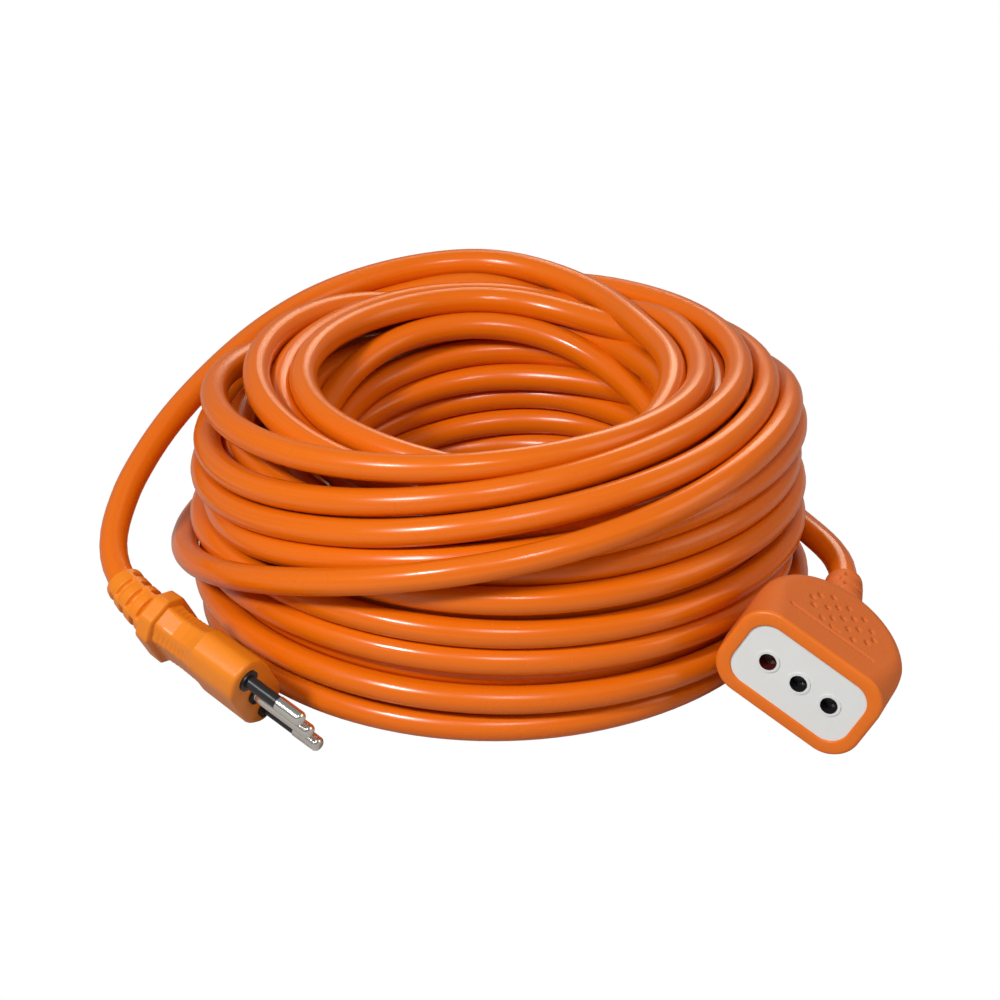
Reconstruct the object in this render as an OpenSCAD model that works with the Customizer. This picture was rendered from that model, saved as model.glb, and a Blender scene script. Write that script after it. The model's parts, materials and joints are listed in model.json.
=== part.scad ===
// Coiled extension cord: a three-pin in-line plug on one end, a three-hole
// trailing socket on the other, and the cord between them wound into a round coil.
// The origin is the centre of the coil on the surface that it lies on. +Z is up,
// and the socket and the plug lie on the -Y side.

/* [Cord] */
// Outer diameter of the sheath
cord_d = 7.4; // [6.2:0.1:9]
// Diameter of one insulated core
core_d = 2.5; // [2.2:0.1:2.7]
// Diameter of the bare stranded wire
wire_d = 1.3; // [1.0:0.1:1.6]
// Radius at which the centres of the three cores lie in the sheath
core_lay_r = 1.6; // [1.6:0.1:1.8]

/* [Coil] */
// Outer radius of the coil
coil_outer_r = 81.5; // [70:0.5:98]
// Inner radius of the coil
coil_inner_r = 46; // [38:0.5:55]
// Height of the coil
coil_h = 77.7; // [64:0.1:94]
// Rounding of the coil's top edges
coil_top_round = 12; // [6:0.5:16]
// Rounding of the coil's bottom edges
coil_foot_round = 8; // [4:0.5:14]

/* [Plug pins] */
// Diameter of a pin
pin_d = 4; // [3.2:0.1:4.8]
// Length of a pin in front of the plug's face
pin_l = 19; // [16:0.5:23]
// Distance from one pin to the next
pin_pitch = 9.5; // [8:0.1:11.4]
// Length of the insulating sleeve on an outer pin
sleeve_l = 10; // [8:0.5:12]
// Wall of the insulating sleeve
sleeve_t = 0.5; // [0.4:0.05:0.7]
// Gap between a sleeve's skin and the full pin diameter
sleeve_inset = 0.2; // [0.2:0.05:0.3]
// Length of the groove at the root of the earth pin
root_groove_l = 0.5; // [0.3:0.1:1]
// Length of the pin's tail behind the carrier
crimp_l = 4; // [3:0.5:5]

/* [Plug body] */
// Plastic on each side of the pin carrier, along the row of pins
plug_cheek = 1.9; // [1.2:0.1:4]
// Thickness of the face
plug_t = 13.6; // [12.5:0.1:16]
// Length of the straight front part
barrel_l = 15.5; // [14:0.5:19]
// Length of the waisted grip
grip_l = 14; // [12:0.5:17]
// Width of the grip at its waist
grip_w = 20; // [18:0.5:24]
// Thickness of the grip at its waist
grip_t = 11.5; // [10.5:0.1:13]
// Length of the collar behind the grip
collar_l = 4.5; // [3.5:0.5:6]
// Width of the collar
collar_w = 25; // [22:0.5:29]
// Plastic between the strain relief's anchor and the collar's flat sides
collar_skin = 0.7; // [0.5:0.1:1.5]
// Radius of the black boss around a pin's root
boss_r = 3; // [2.6:0.1:3.6]
// Height of a boss over the face
boss_h = 0.8; // [0.4:0.1:1.2]

/* [Socket] */
// Width of the socket's face, along the row of holes
socket_w = 42.8; // [39:0.2:52]
// Thickness of the socket
socket_t = 26.8; // [24:0.2:32]
// Depth of the socket from its face to its round back
socket_l = 32; // [31.5:0.5:39]
// Corner radius of the socket's face
socket_round = 8.5; // [5:0.5:11]
// Width of the orange rim around the face plate
rim_w = 3.7; // [3:0.1:4.4]
// Depth of the face plate below the rim
plate_inset = 0.5; // [0:0.1:1]
// Thickness of the face plate
plate_t = 3; // [2.4:0.1:3.6]
// Clearance on the diameter between a pin and a hole in the face plate
hole_play = 0.6; // [0.4:0.1:1.2]
// Clearance on the diameter between a pin and its contact
contact_play = 0.1; // [0.05:0.05:0.2]
// Wall of a contact tube
contact_wall = 0.6; // [0.4:0.1:0.7]
// Width of the slit along a contact tube
contact_slit = 0.8; // [0.4:0.1:1.2]

/* [Strain reliefs] */
// Length of the plug's relief behind the collar
plug_relief_l = 17; // [15:0.5:24]
// Length of the socket's relief behind the body
socket_relief_l = 22; // [18:0.5:28]
// Depth to which a relief is anchored in its body
relief_anchor = 3.5; // [2.5:0.5:4]
// Wall of a relief around the cord at its thick end
relief_wall_root = 2.5; // [2:0.1:3]
// Wall of a relief around the cord at its thin end
relief_wall_tip = 1.5; // [1.2:0.1:1.8]
// Step from a relief's thick end out to its anchor
anchor_step = 0.6; // [0.4:0.1:1]
// Number of slots along each side of a relief
relief_slots = 3; // [2:1:4]
// Width of one slot
slot_w = 1.6; // [1:0.1:2]
// Wall that the slots leave around the cord
slot_floor = 0.7; // [0.5:0.1:0.9]

/* [Hidden] */
$fn = 48;

// Colours
orange = [0.90, 0.40, 0.08];
white = [0.90, 0.90, 0.90];
black = [0.10, 0.10, 0.11];
nickel = [0.80, 0.80, 0.78];
brass = [0.80, 0.65, 0.30];
copper = [0.78, 0.45, 0.30];
core_colours = [[0.40, 0.22, 0.12], [0.55, 0.70, 0.15], [0.15, 0.35, 0.75]];

// Where the plug and the socket lie: the centre of each face, and how it is turned.
// In both frames +X points out of the face, +Y runs along the row of pins or holes.
plug_at = [-62.4, -75, 14.5];
plug_turn = [-49, 19, -37];
socket_at = [75.1, -80.1, 19.5];
socket_turn = [-32, 4, -109.5];

// Plug stations behind the face, along -X
barrel_back = -barrel_l;
grip_back = barrel_back - grip_l;
collar_back = grip_back - collar_l;
plug_relief_tip = collar_back - plug_relief_l;
carrier_front = -1.2;
carrier_back = -11;
carrier_edge = 0.6;
crimp_back = carrier_back - crimp_l;
plug_cord_end = grip_back + 1;
pin_r = pin_d / 2;
pin_head_r = pin_r + 0.6;
pin_head_t = 1.6;
pin_tip_round = 1.4;
root_groove_r = pin_r - 0.3;
sleeve_r = pin_r - sleeve_inset;
neck_r = sleeve_r - sleeve_t;
crimp_r = 1.8;
crimp_depth = 3;
core_r = core_d / 2;
wire_r = wire_d / 2;
wire_bend_r = wire_r + 0.04;
cord_r = cord_d / 2;
relief_r1 = cord_r + relief_wall_root;
relief_r2 = cord_r + relief_wall_tip;
anchor_r = relief_r1 + anchor_step;
collar_t = 2 * (anchor_r + collar_skin);
plug_w = 2 * (pin_pitch + boss_r + carrier_edge + plug_cheek);

// Socket stations behind the face, along -X
plate_back = -plate_inset - plate_t;
contact_r = pin_r + contact_play / 2;
contact_outer_r = contact_r + contact_wall;
contact_front = plate_back - 1.5;
contact_back = -pin_l - 1;
carrier_end = contact_back - 1;
tail_back = carrier_end - 3;
tail_r = 1.8;
tail_depth = 2.5;
socket_back_r = socket_w / 2;
socket_back_x = -(socket_l - socket_back_r);
socket_relief_tip = -socket_l - socket_relief_l;
socket_cord_end = -socket_l + 1.5;
plate_w = socket_w - 2 * rim_w;
plate_h = socket_t - 2 * rim_w;
plate_round = socket_round - rim_w + 1;
hole_r = (pin_d + hole_play) / 2;
hole_collar_w = 0.8;
hole_collar_h = 0.3;

// Three places in a row, and the lay of the three cores where the sheath ends
row = [-pin_pitch, 0, pin_pitch];
lay = [for (a = [210, 90, 330]) core_lay_r * [cos(a), sin(a)]];

// Free stretches of the cord, from the coil to the strain reliefs
plug_route = [
    [37.5, 30.5, 74], [31, 43.5, 75], [24.5, 53.5, 75.5], [16, 62, 76], [5, 69.5, 77],
    [-8, 73, 77], [-20.5, 72, 76], [-32.5, 68, 75],
    [-46, 61, 73], [-56, 52.5, 71], [-65, 43.5, 68], [-72, 35, 65], [-78, 26.5, 62],
    [-83, 19, 59], [-88, 11, 56], [-92, 4, 52.5], [-95.5, -3, 49], [-98.5, -11, 45.5],
    [-101, -19, 42], [-103, -27, 38.5], [-103.5, -34, 35], [-102.5, -40.5, 32.5]
];
socket_route = [
    [66, 41, 24.5], [73.5, 26, 25], [77.5, 14.5, 26], [80.5, 5, 26.5], [84.5, -4.5, 27],
    [88.5, -13.5, 26.5], [91.5, -21, 25]
];
lead_sides = 10;
slot_reach = 3.4;
plug_flat_share = 0.3;
plug_end_share = 0.22;

// Rotation matrix of a turn given as rotate() takes it
function turned(v, a) =
    let (x = [v[0], v[1] * cos(a[0]) - v[2] * sin(a[0]), v[1] * sin(a[0]) + v[2] * cos(a[0])])
    let (y = [x[0] * cos(a[1]) + x[2] * sin(a[1]), x[1], -x[0] * sin(a[1]) + x[2] * cos(a[1])])
    [y[0] * cos(a[2]) - y[1] * sin(a[2]), y[0] * sin(a[2]) + y[1] * cos(a[2]), y[2]];

// A point on the plug's or the socket's axis, in the row's frame
function on_plug(x) = plug_at + turned([x, 0, 0], plug_turn);
function on_socket(x) = socket_at + turned([x, 0, 0], socket_turn);

plug_lead_points = concat(plug_route, [on_plug(plug_relief_tip), on_plug(plug_cord_end)]);
socket_lead_points = concat(socket_route, [on_socket(socket_relief_tip), on_socket(socket_cord_end)]);

module in_plug() {
    translate(plug_at) rotate(plug_turn) children();
}

module in_socket() {
    translate(socket_at) rotate(socket_turn) children();
}

// A round rod along X from x0 down to x1
module rod(x0, x1, r) {
    translate([x1, 0, 0]) rotate([0, 90, 0]) cylinder(h = x0 - x1, r = r);
}

// A round rod between any two points
module rod_between(a, b, r) {
    d = b - a;
    translate(a)
        rotate([0, acos(d[2] / norm(d)), atan2(d[1], d[0])])
            cylinder(h = norm(d), r = r);
}

// Unit vector along v
function unit(v) = v / norm(v);

// The direction of a route at point i
function heading(p, i) = unit(p[min(i + 1, len(p) - 1)] - p[max(i - 1, 0)]);

// A tube swept along a route: each ring stands square to the route
module lead(p, r, sides) {
    last = len(p) - 1;
    rings = [
        for (i = [0:last])
            let (t = heading(p, i))
            let (s = unit(cross(t, [0, 0, 1])))
            let (n = cross(s, t))
            for (k = [0:sides - 1]) p[i] + r * (cos(360 * k / sides) * s + sin(360 * k / sides) * n)
    ];
    walls = [
        for (i = [0:last - 1]) for (k = [0:sides - 1])
            let (m = (k + 1) % sides)
            [i * sides + k, (i + 1) * sides + k, (i + 1) * sides + m, i * sides + m]
    ];
    near_cap = [for (k = [0:sides - 1]) k];
    far_cap = [for (k = [sides - 1:-1:0]) last * sides + k];
    polyhedron(points = rings, faces = concat([near_cap], walls, [far_cap]), convexity = 6);
}

// The outer shape of the round coil
module cord_coil() {
    a = coil_foot_round;
    b = coil_top_round;
    color(orange)
        rotate_extrude($fn = 96)
            union() {
                translate([coil_inner_r + a, 0]) square([coil_outer_r - coil_inner_r - 2 * a, coil_h]);
                translate([coil_inner_r, a]) square([coil_outer_r - coil_inner_r, coil_h - a - b]);
                for (r = [coil_inner_r + a, coil_outer_r - a]) translate([r, a]) circle(r = a);
                for (r = [coil_inner_r + b, coil_outer_r - b]) translate([r, coil_h - b]) circle(r = b);
            }
}

module cord_plug_lead() {
    color(orange) lead(plug_lead_points, cord_r, lead_sides);
}

module cord_socket_lead() {
    color(orange) lead(socket_lead_points, cord_r, lead_sides);
}

// A long hexagon with blunt ends, standing square to X, as a thin slice
module plug_slice(x, w, t) {
    flat = w * plug_flat_share;
    end = t * plug_end_share;
    translate([x, 0, 0])
        rotate([90, 0, 90])
            linear_extrude(height = 0.01)
                polygon([
                    [-w / 2, -end], [-flat, -t / 2], [flat, -t / 2],
                    [w / 2, -end], [w / 2, end], [flat, t / 2], [-flat, t / 2], [-w / 2, end]
                ]);
}

// The black insert that holds the three pins
module carrier_shape() {
    w = 2 * (pin_pitch + boss_r + carrier_edge);
    h = 2 * (boss_r + carrier_edge);
    translate([carrier_back, -w / 2, -h / 2]) cube([carrier_front - carrier_back, w, h]);
    for (y = row) translate([0, y, 0]) rod(boss_h, carrier_front, boss_r);
}

// One pin: rounded tip, full-size shank, head and crimp tail. Below the shank an outer pin
// has a thinner neck under its sleeve, and the earth pin a short groove at its root.
module pin_shape(sleeved) {
    head = carrier_back + 2;
    tip = pin_l - pin_tip_round;
    shank = boss_h + (sleeved ? sleeve_l : root_groove_l);
    rotate([0, 90, 0])
        rotate_extrude()
            intersection() {
                union() {
                    translate([0, head]) square([sleeved ? neck_r : root_groove_r, tip - head]);
                    if (!sleeved) translate([0, head]) square([pin_r, boss_h - head]);
                    translate([0, shank]) square([pin_r, tip - shank]);
                    translate([0, tip]) square([pin_r - pin_tip_round, pin_tip_round]);
                    translate([pin_r - pin_tip_round, tip]) circle(r = pin_tip_round);
                    translate([0, head]) square([pin_head_r, pin_head_t]);
                    translate([0, crimp_back]) square([crimp_r, head - crimp_back]);
                }
                translate([0, crimp_back]) square([pin_head_r, pin_l - crimp_back]);
            }
}

module plug_pin(i, sleeved) {
    color(nickel)
        in_plug()
            difference() {
                translate([0, row[i], 0]) pin_shape(sleeved);
                wire_shape(i, crimp_back + crimp_depth, crimp_back, plug_cord_end);
            }
}

module plug_sleeve(i) {
    color(black)
        in_plug()
            translate([0, row[i], 0])
                difference() {
                    rod(boss_h + sleeve_l, carrier_back + 2 + pin_head_t, sleeve_r);
                    rod(boss_h + sleeve_l + 1, carrier_back + 1, neck_r);
                }
}

// One core, from its crimp to the end of the sheath
module core_shape(i, front, back) {
    rod_between([front, row[i], 0], [back, lay[i][0], lay[i][1]], core_r);
}

// The bare wire of one core: through the insulation, then straight into the crimp
module wire_shape(i, tip, front, back) {
    rod_between([front, row[i], 0], [back, lay[i][0], lay[i][1]], wire_r);
    translate([front, row[i], 0]) sphere(r = wire_bend_r);
    translate([0, row[i], 0]) rod(tip, front, wire_r);
}

// The insulation of one core: open where the wire runs through and at its crimp
module core_piece(i, front, back, tail_radius) {
    difference() {
        core_shape(i, front, back);
        wire_shape(i, front + 1, front, back);
        translate([0, row[i], 0]) rod(front + core_d, front, tail_radius);
    }
}

module plug_core(i) {
    color(core_colours[i]) in_plug() core_piece(i, crimp_back, plug_cord_end, crimp_r);
}

module plug_wire(i) {
    color(copper) in_plug() wire_shape(i, crimp_back + crimp_depth, crimp_back, plug_cord_end);
}

module socket_core(i) {
    color(core_colours[i]) in_socket() core_piece(i, tail_back, socket_cord_end, tail_r);
}

module socket_wire(i) {
    color(copper) in_socket() wire_shape(i, tail_back + tail_depth, tail_back, socket_cord_end);
}

// A strain relief: a tapered sleeve with an anchor collar and slots on both sides
module relief_shape(root, tip) {
    rod(root + relief_anchor, root, anchor_r);
    translate([tip, 0, 0]) rotate([0, 90, 0]) cylinder(h = root - tip, r1 = relief_r2, r2 = relief_r1);
}

module relief(root, tip) {
    pitch = (root - tip - 3) / relief_slots;
    cut = cord_r + slot_floor;
    difference() {
        relief_shape(root, tip);
        rod(root + relief_anchor + 1, tip - 1, cord_r);
        for (i = [0:relief_slots - 1])
            for (side = [-1, 1])
                translate([tip + 2 + i * pitch, side * (cut + slot_reach) - slot_reach, -slot_reach])
                    cube([slot_w, 2 * slot_reach, 2 * slot_reach]);
    }
}

module plug_body() {
    color(orange)
        in_plug()
            difference() {
                union() {
                    hull() {
                        plug_slice(-0.01, plug_w, plug_t);
                        plug_slice(barrel_back, plug_w - 2, plug_t);
                    }
                    hull() {
                        plug_slice(barrel_back, plug_w - 2, plug_t);
                        plug_slice(barrel_back - 3, grip_w + 3, grip_t + 0.6);
                    }
                    hull() {
                        plug_slice(barrel_back - 3, grip_w + 3, grip_t + 0.6);
                        plug_slice(barrel_back - grip_l * 0.6, grip_w, grip_t);
                    }
                    hull() {
                        plug_slice(barrel_back - grip_l * 0.6, grip_w, grip_t);
                        plug_slice(grip_back, grip_w + 2, grip_t + 1);
                    }
                    hull() {
                        plug_slice(grip_back, collar_w, collar_t);
                        plug_slice(collar_back, collar_w - 1, collar_t - 0.5);
                    }
                }
                carrier_shape();
                for (i = [0, 1, 2]) {
                    translate([0, row[i], 0]) rod(carrier_back + 0.1, crimp_back, crimp_r);
                    core_shape(i, crimp_back, plug_cord_end);
                }
                rod(plug_cord_end + 0.01, collar_back - 1, cord_r);
                relief_shape(collar_back, plug_relief_tip);
            }
}

module plug_strain_relief() {
    color(orange) in_plug() relief(collar_back, plug_relief_tip);
}

module plug_pin_carrier() {
    color(black)
        in_plug()
            difference() {
                carrier_shape();
                for (i = [0, 1, 2]) translate([0, row[i], 0]) {
                    rod(boss_h + 1, carrier_back - 1, i == 1 ? pin_r : sleeve_r);
                    rod(carrier_back + 2 + pin_head_t, carrier_back + 2, pin_head_r);
                }
            }
}

// The socket's outline: a rounded face carried back, cut to a half-round plan
module socket_outer() {
    c = socket_round;
    intersection() {
        rotate([90, 0, 90])
            translate([0, 0, -socket_l])
                linear_extrude(height = socket_l)
                    rounded_plate(socket_w, socket_t, c);
        translate([0, 0, -socket_t / 2])
            linear_extrude(height = socket_t)
                union() {
                    translate([socket_back_x, -socket_w / 2]) square([-socket_back_x, socket_w]);
                    translate([socket_back_x, 0]) circle(r = socket_back_r, $fn = 96);
                }
    }
}

// A rectangle with round corners, centred
module rounded_plate(w, h, r) {
    square([w - 2 * r, h], center = true);
    square([w, h - 2 * r], center = true);
    for (x = [-1, 1]) for (y = [-1, 1]) translate([x * (w / 2 - r), y * (h / 2 - r)]) circle(r = r);
}

module socket_carrier_shape() {
    w = 2 * (pin_pitch + contact_outer_r + 1);
    h = 2 * (contact_outer_r + 1);
    translate([carrier_end, -w / 2, -h / 2]) cube([plate_back - carrier_end, w, h]);
}

module socket_body() {
    color(orange)
        in_socket()
            difference() {
                socket_outer();
                rotate([90, 0, 90])
                    translate([0, 0, plate_back])
                        linear_extrude(height = socket_l) rounded_plate(plate_w, plate_h, plate_round);
                socket_carrier_shape();
                for (i = [0, 1, 2]) {
                    translate([0, row[i], 0]) rod(carrier_end + 0.01, tail_back, tail_r);
                    core_shape(i, tail_back, socket_cord_end);
                }
                rod(socket_cord_end + 0.01, -socket_l - 1, cord_r);
                relief_shape(-socket_l, socket_relief_tip);
            }
}

module socket_strain_relief() {
    color(orange)
        in_socket()
            difference() {
                relief(-socket_l, socket_relief_tip);
                for (i = [0, 1, 2]) core_shape(i, tail_back, socket_cord_end);
            }
}

module socket_face() {
    color(white)
        in_socket()
            difference() {
                union() {
                    rotate([90, 0, 90])
                        translate([0, 0, plate_back])
                            linear_extrude(height = plate_t) rounded_plate(plate_w, plate_h, plate_round);
                    for (y = row)
                        translate([0, y, 0]) rod(hole_collar_h - plate_inset, plate_back, hole_r + hole_collar_w);
                }
                for (y = row) translate([0, y, 0]) rod(1, plate_back - 1, hole_r);
            }
}

module socket_contact_carrier() {
    color(black)
        in_socket()
            difference() {
                socket_carrier_shape();
                for (y = row) translate([0, y, 0]) {
                    rod(plate_back + 1, contact_front, hole_r);
                    rod(contact_front, contact_back, contact_outer_r);
                    rod(contact_back + 0.01, carrier_end - 1, tail_r);
                }
            }
}

// A slit tube that a pin slides into, closed at the back by its crimp tail
module contact_shape() {
    difference() {
        union() {
            rod(contact_front, contact_back, contact_outer_r);
            rod(contact_back + 0.5, tail_back, tail_r);
        }
        rod(contact_front + 1, contact_back + 0.6, contact_r);
        translate([contact_back + 1, -contact_slit / 2, 0])
            cube([contact_front - contact_back, contact_slit, contact_outer_r + 1]);
    }
}

module socket_contact(i) {
    color(brass)
        in_socket()
            difference() {
                translate([0, row[i], 0]) contact_shape();
                wire_shape(i, tail_back + tail_depth, tail_back, socket_cord_end);
            }
}

// The pieces that come in threes, each under its own name
module plug_pin_line() { plug_pin(0, true); }
module plug_pin_earth() { plug_pin(1, false); }
module plug_pin_neutral() { plug_pin(2, true); }
module plug_sleeve_line() { plug_sleeve(0); }
module plug_sleeve_neutral() { plug_sleeve(2); }
module plug_core_brown() { plug_core(0); }
module plug_core_green_yellow() { plug_core(1); }
module plug_core_blue() { plug_core(2); }
module plug_wire_brown() { plug_wire(0); }
module plug_wire_green_yellow() { plug_wire(1); }
module plug_wire_blue() { plug_wire(2); }
module socket_contact_line() { socket_contact(0); }
module socket_contact_earth() { socket_contact(1); }
module socket_contact_neutral() { socket_contact(2); }
module socket_core_brown() { socket_core(0); }
module socket_core_green_yellow() { socket_core(1); }
module socket_core_blue() { socket_core(2); }
module socket_wire_brown() { socket_wire(0); }
module socket_wire_green_yellow() { socket_wire(1); }
module socket_wire_blue() { socket_wire(2); }

cord_coil();
cord_plug_lead();
cord_socket_lead();
plug_body();
plug_strain_relief();
plug_pin_carrier();
plug_pin_line();
plug_pin_earth();
plug_pin_neutral();
plug_sleeve_line();
plug_sleeve_neutral();
plug_core_brown();
plug_core_green_yellow();
plug_core_blue();
plug_wire_brown();
plug_wire_green_yellow();
plug_wire_blue();
socket_body();
socket_strain_relief();
socket_face();
socket_contact_carrier();
socket_contact_line();
socket_contact_earth();
socket_contact_neutral();
socket_core_brown();
socket_core_green_yellow();
socket_core_blue();
socket_wire_brown();
socket_wire_green_yellow();
socket_wire_blue();
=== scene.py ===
"""The looks of an orange extension cord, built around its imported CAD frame.

All lengths are in metres in the frame's own axes: the origin is the centre of the coil on
the floor, +Z is up, and the socket and the plug lie on the -Y side.
"""

import json
import math

import bpy
import numpy as np
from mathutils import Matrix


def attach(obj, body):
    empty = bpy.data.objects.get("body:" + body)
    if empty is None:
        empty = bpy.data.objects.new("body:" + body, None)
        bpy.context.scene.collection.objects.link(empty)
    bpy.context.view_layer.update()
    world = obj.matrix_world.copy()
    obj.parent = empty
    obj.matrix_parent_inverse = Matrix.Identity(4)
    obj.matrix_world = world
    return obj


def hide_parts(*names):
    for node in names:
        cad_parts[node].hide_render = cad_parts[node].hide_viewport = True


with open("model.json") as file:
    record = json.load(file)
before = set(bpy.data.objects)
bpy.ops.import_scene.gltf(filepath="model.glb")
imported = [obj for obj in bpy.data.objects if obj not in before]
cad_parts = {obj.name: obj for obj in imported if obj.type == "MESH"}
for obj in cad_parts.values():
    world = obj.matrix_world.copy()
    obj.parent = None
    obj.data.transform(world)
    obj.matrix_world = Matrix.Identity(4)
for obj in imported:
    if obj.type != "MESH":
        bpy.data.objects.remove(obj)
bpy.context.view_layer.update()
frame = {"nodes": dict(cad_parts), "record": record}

MM = 0.001

# ---------------------------------------------------------------- sizes

CORD_D = 7.4
CORD_R = CORD_D / 2
CORD_SIDES = 18
CORD_STEP = 4.0

# The coil: stations round each turn, the highest centre, and the rounds in which it settles
STATIONS = 96
COIL_TOP = 74.2
SETTLING_ROUNDS = 260
# The gap kept between turns, in diameters, and the share of each push that is taken
KEPT_GAP, PUSH_TAKEN = 1.004, 0.8
# How much a turn is drawn to its own place: in the early rounds, in the late ones and at
# most, and the share of the rounds that counts as early
EARLY_DRAW, LATE_DRAW, MOST_DRAW, EARLY_SHARE = 0.02, 0.004, 0.1, 0.8
# Where a station without a cord is kept, so that it never pushes anything
FAR_OFF = 1e5

# The tightest bend that is left alone. A tighter one is eased over this many points on each
# side of it, in this many rounds at most.
LEAST_BEND = 31.0
BEND_REACH = 12
BEND_ROUNDS = 900

# Where the plug and the socket lie: the centre of each face, and how it is turned
PLUG_AT = (-62.4, -75.0, 14.5)
PLUG_TURN = (-49, 19, -37)
SOCKET_AT = (75.1, -80.1, 19.5)
SOCKET_TURN = (-32, 4, -109.5)
PLUG_CORD_END = -28.5
PLUG_COLLAR_BACK = -34.0
PLUG_RELIEF_TIP = -51.0
SOCKET_CORD_END = -30.5
SOCKET_BACK = -32.0
SOCKET_RELIEF_TIP = -54.0

# The free stretches of the cord, along the middle of the leads that they replace
PLUG_ROUTE = [
    (37.5, 30.5, 74), (31, 43.5, 75), (24.5, 53.5, 75.5), (16, 62, 76), (5, 69.5, 77),
    (-8, 73, 77), (-20.5, 72, 76), (-32.5, 68, 75),
    (-46, 61, 73), (-56, 52.5, 71), (-65, 43.5, 68), (-72, 35, 65), (-78, 26.5, 62),
    (-83, 19, 59), (-88, 11, 56), (-92, 4, 52.5), (-95.5, -3, 49), (-98.5, -11, 45.5),
    (-101, -19, 42), (-103, -27, 38.5), (-103.5, -34, 35), (-102.5, -40.5, 32.5),
]
SOCKET_ROUTE = [
    (66, 41, 24.5), (73.5, 26, 25), (77.5, 14.5, 26), (80.5, 5, 26.5), (84.5, -4.5, 27),
    (88.5, -13.5, 26.5), (91.5, -21, 25),
]

# Where each turn of the coil wants to lie, in winding order from the socket's end: how
# firmly it keeps its place, where it crosses over to the next turn (degrees from +X), and
# the radius and height of its centre at equal steps round the coil from the right, by the
# back, the left and the front.
BACK, FRONT, LEAD_START = 90, 270, 40
TURNS = [
    (1, BACK, ((78, 26), (77.5, 24), (78, 30.3), (78, 25))),
    (1, BACK, ((74, 20), (75.5, 17), (74, 24), (75.5, 18.7))),
    (1, BACK, ((77.5, 17.8), (77, 10.5), (77.5, 20), (78, 14.5))),
    (2, BACK, ((75, 11.5), (75.5, 4), (77.5, 10), (77.5, 5.2))),
    (1, BACK, ((69, 4), (68.5, 4), (69, 5), (69, 4))),
    (1, BACK, ((62, 4), (61.5, 4), (62, 4), (62, 4))),
    (1, BACK, ((54.6, 4), (54.6, 4), (54.6, 4), (54.6, 4))),
    (1, FRONT, ((49, 11), (49.5, 9.5), (50, 9.5), (50, 10))),
    (1, FRONT, ((49, 18.5), (49.5, 17), (55.5, 11), (50, 17.5))),
    (1, FRONT, ((49, 26), (49.5, 24.5), (50, 16.5), (50, 25))),
    (1, FRONT, ((49, 33), (49.5, 32), (54, 22), (50, 31))),
    (1, FRONT, ((49, 40), (49.5, 39.5), (50, 27.5), (50, 36))),
    (1, FRONT, ((49, 47.5), (49.5, 47), (52, 35), (50, 42))),
    (1, FRONT, ((48.5, 55), (49.5, 53.5), (50, 42), (50, 48))),
    (1, FRONT, ((48.5, 61.5), (50, 60), (50.5, 49.5), (50, 54))),
    (3, FRONT, ((46, 67), (52.5, 66.8), (53, 58), (52, 61))),
    (1, FRONT, ((57, 60), (57, 61), (59, 52), (58, 56))),
    (1, BACK, ((57, 51), (57, 53), (59, 44), (58, 47))),
    (1, BACK, ((57, 42), (57, 44), (60, 36), (58, 39))),
    (1, BACK, ((57, 32), (57, 34), (61, 28), (58, 31))),
    (1, BACK, ((57, 22), (57, 24), (62, 20), (58, 22))),
    (1, BACK, ((64, 14), (64, 13), (65, 13), (64, 13))),
    (1, BACK, ((67, 24), (67.5, 23), (68, 23), (67, 23))),
    (2, BACK, ((78, 33.5), (77.5, 31), (78, 37), (78, 32))),
    (1, BACK, ((73, 37), (74, 36), (72, 36), (74, 35.5))),
    (2, BACK, ((78, 44), (77.3, 38.5), (74, 44), (78, 41.7))),
    (1, BACK, ((77, 52), (77.3, 46), (71, 50), (76, 46.9))),
    (2, BACK, ((77.5, 59.5), (77.5, 53), (77, 42), (75.5, 53.5))),
    (12, BACK, ((76.5, 66.5), (77.5, 58), (77.5, 47), (82, 30), (85.5, 24.5), (85.5, 39.5),
                (84, 54.5), (79, 65))),
    (1, BACK, ((68, 62), (69, 60), (71, 56), (74, 58))),
    (3, BACK, ((71, 70), (75.5, 61), (79, 43.5), (76.3, 62.8))),
    (4, BACK, ((63, 74), (74, 67), (79.2, 54), (70.3, 68.7))),
    (2, BACK, ((57, 69), (65, 72), (65.5, 73), (60, 63))),
    (4, BACK, ((51, 74), (70.5, 71), (77.7, 67.6), (65.7, 73.9))),
    (2, FRONT, ((56, 65), (57, 73), (59, 69), (56, 65))),
    (6, FRONT, ((46, 50), (46, 60), (48, 69.5), (49, 66), (51, 52), (50.5, 41), (50, 40),
                (48, 44))),
    (4, FRONT, ((51, 63), (50, 72), (53, 73), (56, 66))),
    (6, LEAD_START, ((46, 74), (50, 74.5), (53, 73), (56, 66))),
]
# How far a crossover reaches and how far it strays from its place, in degrees, where the
# coil starts, and the least part of a turn between two crossovers
CROSSOVER_SPAN, CROSSOVER_STRAY = 70, 10
COIL_START = 20
LEAST_TURN = 120

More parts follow.
